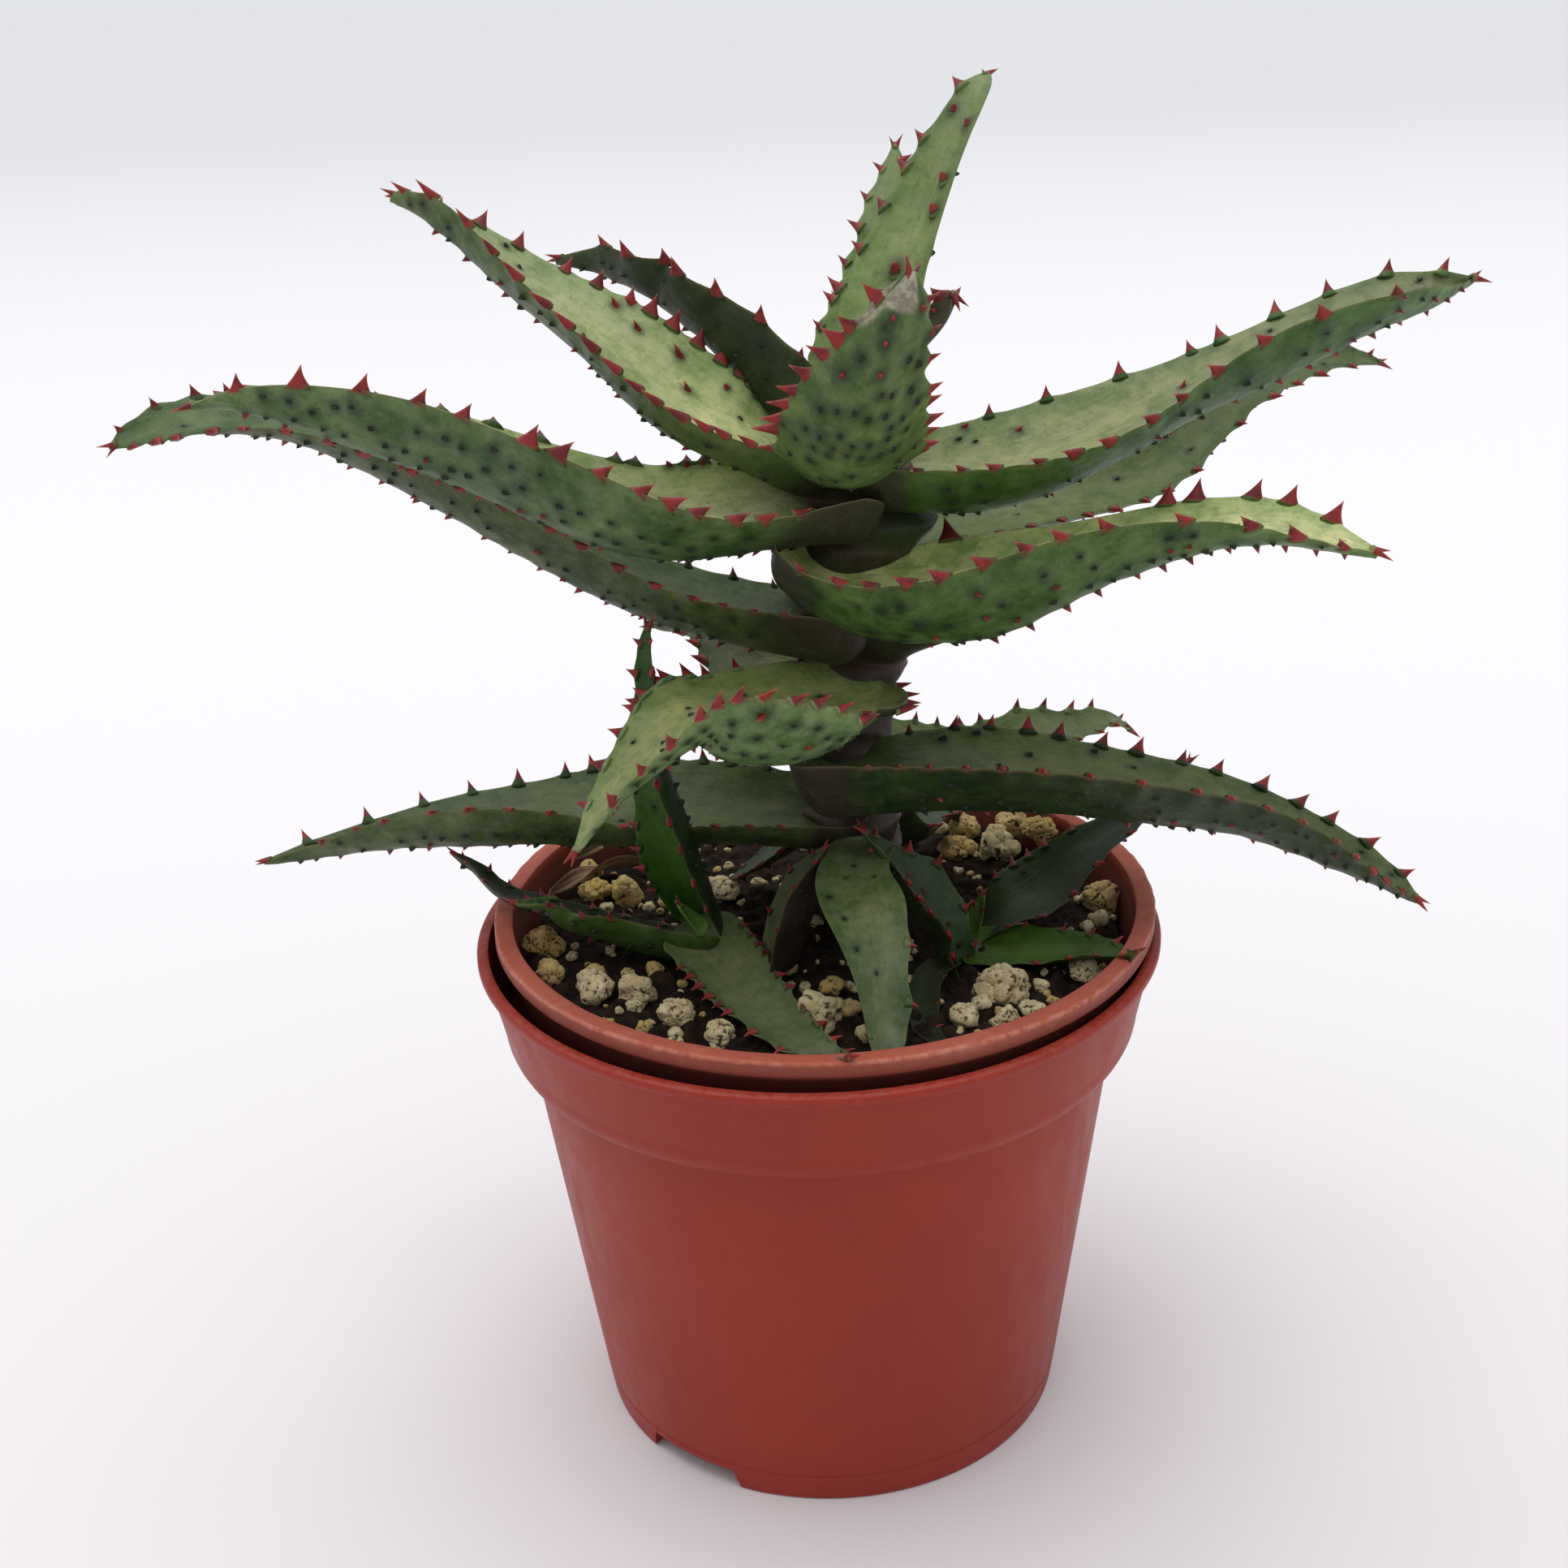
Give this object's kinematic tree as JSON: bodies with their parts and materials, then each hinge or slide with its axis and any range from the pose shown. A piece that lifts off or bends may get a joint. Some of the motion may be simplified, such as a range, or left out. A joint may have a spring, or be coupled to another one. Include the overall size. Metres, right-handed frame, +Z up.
{
  "type": "potted aloe hybrid",
  "caption": "Potted aloe hybrid: a leaning rosette of thick toothed channelled leaves on one stem with offsets at its foot, in soil with pumice grains, in nested plastic nursery pots.",
  "frame": {"origin": "middle of the bounding box in plan, on the table the outer pot stands on", "axes": "+Z up, +X to the right and -Y towards the viewer of the picture; the leaves spread mostly along X"},
  "size_m": [0.1946, 0.105, 0.2025],
  "materials": {
    "pot_outer": "satin brick-red moulded plastic with fine dust",
    "pot_inner": "faded dusty brick-red moulded plastic",
    "soil": "dark damp loose growing mix",
    "pumice": "matt cream porous grains",
    "leaf": "waxy grey-green, darker beneath, red teeth",
    "offset_leaf": "waxy bright green, red teeth",
    "stem": "dull purplish-brown clasping sheaths",
    "dry_leaf": "matt shrivelled brown"
  },
  "bodies": {
    "root": {"outer_pot": "pot_outer", "inner_pot": "pot_inner", "soil": "soil", "stem": "stem", "pup_a_stem": "stem", "pup_b_stem": "stem", "leaf_01": "leaf", "leaf_02": "leaf", "leaf_03": "leaf", "leaf_04": "leaf", "leaf_05": "leaf", "leaf_06": "leaf", "leaf_07": "leaf", "leaf_08": "leaf", "leaf_09": "leaf", "leaf_10": "leaf", "leaf_11": "leaf", "leaf_12": "leaf", "leaf_13": "leaf", "leaf_14": "leaf", "leaf_15": "leaf", "leaf_16": "leaf", "leaf_17": "leaf", "leaf_18": "leaf", "leaf_19": "leaf", "pup_a_leaf_1": "offset_leaf", "pup_a_leaf_2": "offset_leaf", "pup_a_leaf_3": "offset_leaf", "pup_a_leaf_4": "offset_leaf", "pup_a_leaf_5": "offset_leaf", "pup_a_leaf_6": "offset_leaf", "pup_b_leaf_1": "offset_leaf", "pup_b_leaf_2": "offset_leaf", "pup_b_leaf_3": "offset_leaf", "pup_b_leaf_4": "offset_leaf", "pup_b_leaf_5": "offset_leaf", "dry_leaf_1": "dry_leaf", "dry_leaf_2": "dry_leaf", "pumice_01": "pumice", "pumice_02": "pumice", "pumice_03": "pumice", "pumice_04": "pumice", "pumice_05": "pumice", "pumice_06": "pumice", "pumice_07": "pumice", "pumice_08": "pumice", "pumice_09": "pumice", "pumice_10": "pumice", "pumice_11": "pumice", "pumice_12": "pumice", "pumice_13": "pumice", "pumice_14": "pumice", "pumice_15": "pumice", "pumice_16": "pumice", "pumice_17": "pumice", "pumice_18": "pumice", "pumice_19": "pumice", "pumice_20": "pumice", "pumice_21": "pumice"}
  },
  "joints": []
}
